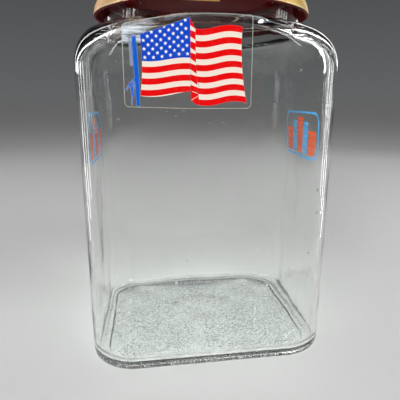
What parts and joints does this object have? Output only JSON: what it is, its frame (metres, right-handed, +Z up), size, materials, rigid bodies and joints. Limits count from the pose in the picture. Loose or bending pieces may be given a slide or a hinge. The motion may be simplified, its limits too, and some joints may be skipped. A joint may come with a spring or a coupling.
{
  "type": "coin bank jar",
  "caption": "Rounded rectangular clear glass jar with a wide round neck, slip-on metal lid with a coin slot, loose seal ring, flag decal films and side badges.",
  "frame": {"origin": "on the table, under the middle of the jar", "axes": "+Z up the jar towards the lid, -Y towards the front with the flag decal, +X to the jar's right as seen from the front"},
  "size_m": [0.2008, 0.176, 0.2945],
  "materials": {
    "clear_glass": "clear, slightly green, wavy and lightly scratched",
    "gold_lacquer": "gold lacquer on tinplate, worn and mottled, dark maroon inside",
    "maroon_rubber": "matt maroon",
    "printed_film": "clear film with a printed waving flag",
    "badge_ink": "light-blue and orange fired print"
  },
  "bodies": {
    "jar": {"glass_jar": "clear_glass", "flag_film_left": "printed_film", "flag_film_right": "printed_film", "badge_left": "badge_ink", "badge_right": "badge_ink"},
    "lid_seal": {"seal_ring": "maroon_rubber"},
    "lid": {"lid_shell": "gold_lacquer"}
  },
  "joints": [
    {"name": "lid_turn", "type": "hinge", "parent": "jar", "child": "lid_seal", "pos_m": [0, 0, 0.288], "axis": [0, 0, 1], "continuous": true},
    {"name": "lid_lift", "type": "slide", "parent": "lid_seal", "child": "lid", "axis": [0, 0, 1], "range_m": [0, 0.12]}
  ]
}
